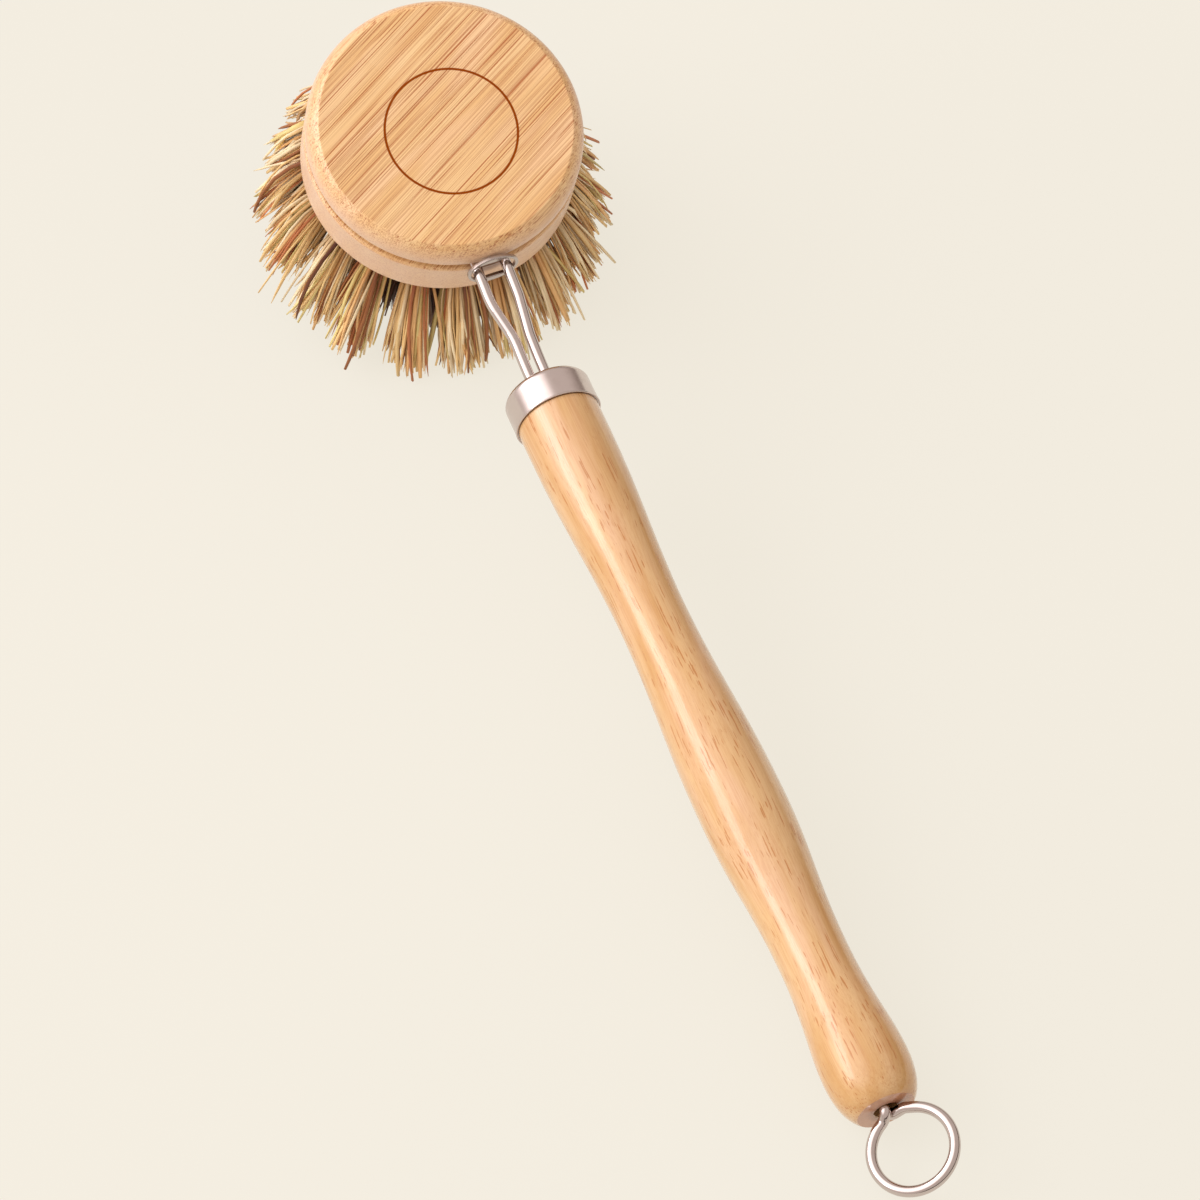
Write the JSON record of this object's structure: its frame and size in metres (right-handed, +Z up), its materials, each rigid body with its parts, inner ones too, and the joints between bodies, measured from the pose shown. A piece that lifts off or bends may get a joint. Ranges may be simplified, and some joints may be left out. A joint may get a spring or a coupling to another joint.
{
  "type": "dish brush",
  "caption": "Dish brush: turned bamboo handle with a hanging ring, sprung steel wire bow, sliding clip and a round replaceable bamboo head with natural-fibre tufts.",
  "frame": {"origin": "centre of the brush's plan, on the table that it lies on", "axes": "+Z up from the table, +X from the round head towards the handle's hanging ring, +Y to the left seen from above with the ring away from the viewer"},
  "size_m": [0.2604, 0.0708, 0.0563],
  "materials": {
    "handle_bamboo": "clear gloss lacquer over bamboo",
    "head_bamboo": "sanded bamboo, light satin",
    "bright_steel": "bright plated steel",
    "staple_steel": "plain drawn wire",
    "natural_fibre": "dry plant fibre, straw with brown and dark strands"
  },
  "bodies": {
    "grip": {"handle": "handle_bamboo", "ferrule": "bright_steel", "wire_bow": "bright_steel", "hanging_ring": "bright_steel"},
    "clip": {"locking_clip": "bright_steel"},
    "head": {"head_block": "head_bamboo", "tuft_staples": "staple_steel", "tuft_01": "natural_fibre", "tuft_02": "natural_fibre", "tuft_03": "natural_fibre", "tuft_04": "natural_fibre", "tuft_05": "natural_fibre", "tuft_06": "natural_fibre", "tuft_07": "natural_fibre", "tuft_08": "natural_fibre", "tuft_09": "natural_fibre", "tuft_10": "natural_fibre", "tuft_11": "natural_fibre", "tuft_12": "natural_fibre", "tuft_13": "natural_fibre", "tuft_14": "natural_fibre", "tuft_15": "natural_fibre", "tuft_16": "natural_fibre", "tuft_17": "natural_fibre", "tuft_18": "natural_fibre", "tuft_19": "natural_fibre", "tuft_20": "natural_fibre", "tuft_21": "natural_fibre", "tuft_22": "natural_fibre", "tuft_23": "natural_fibre", "tuft_24": "natural_fibre", "tuft_25": "natural_fibre", "tuft_26": "natural_fibre", "tuft_27": "natural_fibre", "tuft_28": "natural_fibre", "tuft_29": "natural_fibre", "tuft_30": "natural_fibre", "tuft_31": "natural_fibre", "tuft_32": "natural_fibre", "tuft_33": "natural_fibre", "tuft_34": "natural_fibre", "tuft_35": "natural_fibre", "tuft_36": "natural_fibre", "tuft_37": "natural_fibre"}
  },
  "joints": [
    {"name": "clip_slide", "type": "slide", "parent": "grip", "child": "clip", "axis": [0.9269, 0, -0.3754], "range_m": [0, 0.013]},
    {"name": "head_turn", "type": "hinge", "parent": "grip", "child": "head", "pos_m": [-0.08367, 0, 0.04773], "axis": [0.3754, 0, 0.9269], "continuous": true}
  ]
}
